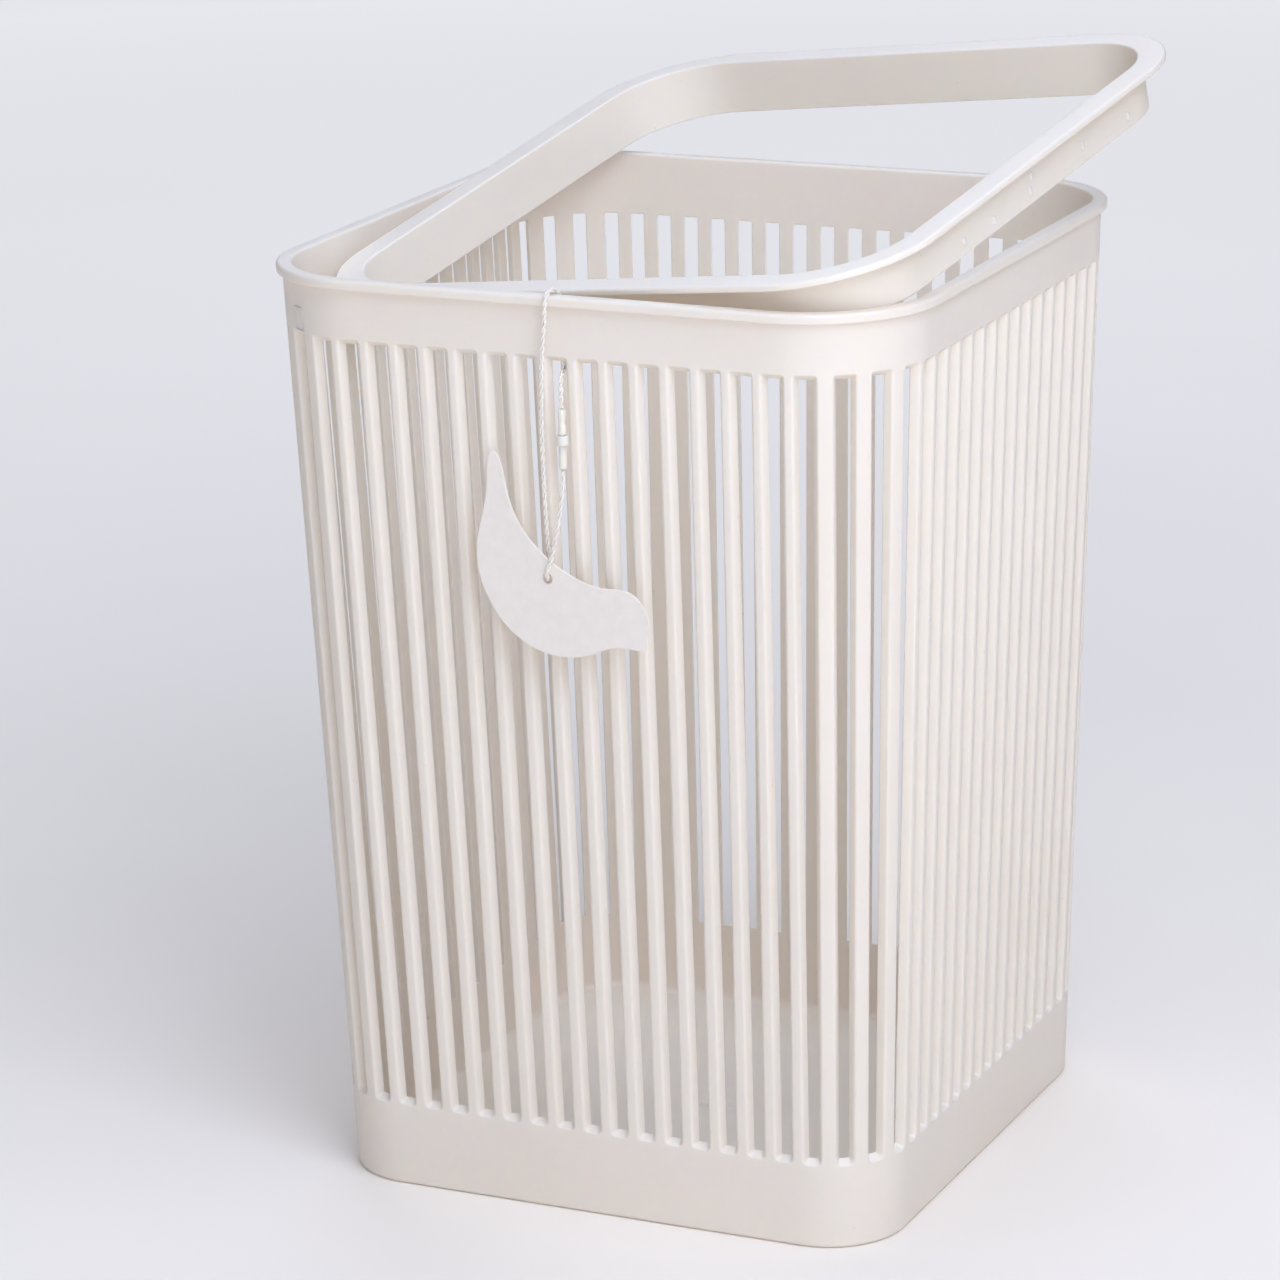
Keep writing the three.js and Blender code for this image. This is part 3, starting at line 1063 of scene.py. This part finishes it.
def add_floor():
    rim = [
        (FLOOR_RADIUS * math.cos(a), FLOOR_RADIUS * math.sin(a), 0)
        for a in (2 * math.pi * k / FLOOR_SIDES for k in range(FLOOR_SIDES))
    ]
    face = tuple(range(FLOOR_SIDES))
    floor = mesh_object("studio_floor", rim, [face], studio_floor("studio_floor"))


DAYLIGHT = (0.745, 0.82, 1.0)
WORLD_STRENGTH = 0.06
LIGHT_AIM = Vector((0, 0, 0.2))


def add_light(name, azimuth, elevation, distance, size, power):
    """A soft panel aimed at the object: angles in degrees, distance and size in m, power in W."""
    data = bpy.data.lights.new(name, "AREA")
    data.shape = "RECTANGLE"
    data.size, data.size_y = size
    data.energy = power
    data.color = DAYLIGHT
    light = bpy.data.objects.new(name, data)
    bpy.context.scene.collection.objects.link(light)
    a, e = math.radians(azimuth), math.radians(elevation)
    back = Vector((math.sin(a) * math.cos(e), -math.cos(a) * math.cos(e), math.sin(e)))
    light.location = LIGHT_AIM + back * distance
    light.rotation_mode = "QUATERNION"
    light.rotation_quaternion = (-back).to_track_quat("-Z", "Y")


def add_world():
    world = bpy.data.worlds.new("studio")
    world.use_nodes = True
    background = world.node_tree.nodes["Background"]
    background.inputs["Color"].default_value = (*DAYLIGHT, 1)
    background.inputs["Strength"].default_value = WORLD_STRENGTH
    bpy.context.scene.world = world


def add_lights():
    add_light("front", 25, 18, 2.6, (1.2, 1.2), 14)
    add_light("near", 40, 15, 1.2, (0.6, 0.8), 1.5)
    add_light("right", 52, 44, 2.0, (1.0, 1.0), 18)
    add_light("left", -50, 35, 2.4, (1.6, 1.6), 6)
    add_light("top", 55, 74, 3.0, (2.0, 2.0), 38)
    add_light("behind", -155, 50, 2.6, (1.6, 1.6), 24)
    add_world()
    bpy.context.scene.view_settings.view_transform = "Standard"


# ---- the whole ----


def build():
    add_camera()
    basket_ivory = basket_plastic()
    ring_ivory = ring_plastic()
    lock_ivory = lock_plastic()
    cotton = twisted_cotton("string_cotton")
    card = uncoated_card("tag_card")

    string, line, length = add_string(cotton)
    pin, socket = add_lock(lock_ivory)
    tag = add_tag(card)
    basket = add_basket(basket_ivory)
    ring, nubs = add_ring(ring_ivory)

    for piece in (basket, string, pin, socket):
        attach(piece, "basket")
    for piece in (ring, nubs):
        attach(piece, "ring")
    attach(tag, "tag")

    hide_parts("basket_body")
    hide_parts("liner_ring")
    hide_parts("tag_string")
    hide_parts("lock_pin")
    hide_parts("lock_socket")
    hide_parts("hang_tag")
    add_floor()
    add_lights()


build()
